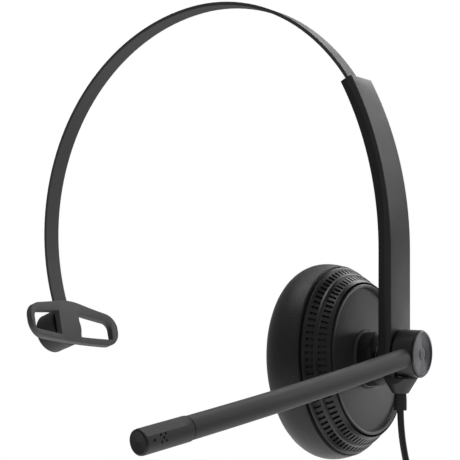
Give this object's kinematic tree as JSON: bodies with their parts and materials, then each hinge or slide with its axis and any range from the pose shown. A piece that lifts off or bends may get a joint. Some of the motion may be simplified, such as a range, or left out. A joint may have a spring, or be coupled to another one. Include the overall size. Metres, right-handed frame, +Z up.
{
  "type": "office headset",
  "caption": "Mono office headset: thin spring head band, slider arm, tilting ear cup with cushion, turning microphone boom, pivoting temple bar and a tied lead.",
  "frame": {"origin": "middle of the wearer's head, midway between the ears: in the band's plane, below the crown, at the height of the ear cup's centre", "axes": "+X from the temple bar to the ear cup, -Y forward along the boom, +Z up to the crown of the band"},
  "size_m": [0.1716, 0.1639, 0.2554],
  "materials": {
    "band_skin": "fine matte, coated",
    "spring_steel": "cold rolled",
    "screw_steel": "blackened",
    "black_plastic": "satin",
    "arm_plastic": "satin",
    "boom_plastic": "fine matte",
    "cup_plastic": "satin",
    "vent_plastic": "satin",
    "bush_plastic": "natural",
    "spun_metal": "spun, dark anodised",
    "plug_metal": "plated",
    "speaker_metal": "pressed",
    "magnet": "plated",
    "diaphragm": "clear film",
    "speaker_cloth": "open knit",
    "leatherette": "soft, fine grain",
    "soft_vinyl": "matte",
    "cord_jacket": "satin",
    "tie_strap": "woven hook and loop"
  },
  "bodies": {
    "headband": {"band_spring": "spring_steel", "band_sleeve": "band_skin", "band_stop": "spring_steel", "pivot_housing": "black_plastic", "pivot_cap": "black_plastic"},
    "temple_bar": {"tbar_frame": "band_skin", "pivot_washer": "spring_steel", "pivot_screw": "screw_steel"},
    "arm": {"arm_cover": "black_plastic", "arm_shell": "arm_plastic", "arm_screws": "screw_steel", "detent_springs": "spring_steel", "hub_post": "black_plastic", "hub_washer": "spring_steel", "hub_screw": "screw_steel", "ball_stud": "black_plastic", "strain_relief": "soft_vinyl", "cord": "cord_jacket", "cord_tail": "cord_jacket", "cord_coil": "cord_jacket", "cord_tie": "tie_strap", "plug_boot": "soft_vinyl", "plug_grip": "soft_vinyl", "jack_shaft": "plug_metal"},
    "boom": {"boom_collar": "arm_plastic", "hub_cap": "spun_metal", "boom_tube": "boom_plastic", "mic_lead": "cord_jacket", "mic_housing": "boom_plastic", "mic_grommet": "soft_vinyl", "mic_capsule": "speaker_metal", "mic_end_cap": "black_plastic"},
    "bush": {"ball_bush": "bush_plastic"},
    "ear_cup": {"cup_plate": "cup_plastic", "vent_ring": "vent_plastic", "cup_baffle": "black_plastic", "cup_screws": "screw_steel", "speaker_frame": "speaker_metal", "speaker_magnet": "magnet", "speaker_cone": "diaphragm", "speaker_cloth": "speaker_cloth", "ear_cushion": "leatherette", "cushion_ring": "black_plastic", "knuckle": "black_plastic", "socket_retainer": "black_plastic"}
  },
  "joints": [
    {"name": "temple_bar_turn", "type": "hinge", "parent": "headband", "child": "temple_bar", "pos_m": [-0.06966, 0, 0.00771], "axis": [0.9336, 0, 0.3584], "range_deg": [-12, 28]},
    {"name": "arm_extend", "type": "hinge", "parent": "headband", "child": "arm", "pos_m": [-0.02031, 0, 0.04329], "axis": [0, 1, 0], "range_deg": [0, 15]},
    {"name": "boom_turn", "type": "hinge", "parent": "arm", "child": "boom", "pos_m": [0, 0, 0.0025], "axis": [-1, 0, 0], "range_deg": [-28, 212]},
    {"name": "ear_swivel", "type": "hinge", "parent": "arm", "child": "bush", "pos_m": [0.0676, 0, 0.00015], "axis": [0, 0, 1], "range_deg": [-8, 8]},
    {"name": "ear_tilt", "type": "hinge", "parent": "bush", "child": "ear_cup", "pos_m": [0.0676, 0, 0.00015], "axis": [0, 1, 0], "range_deg": [-8, 8]}
  ]
}
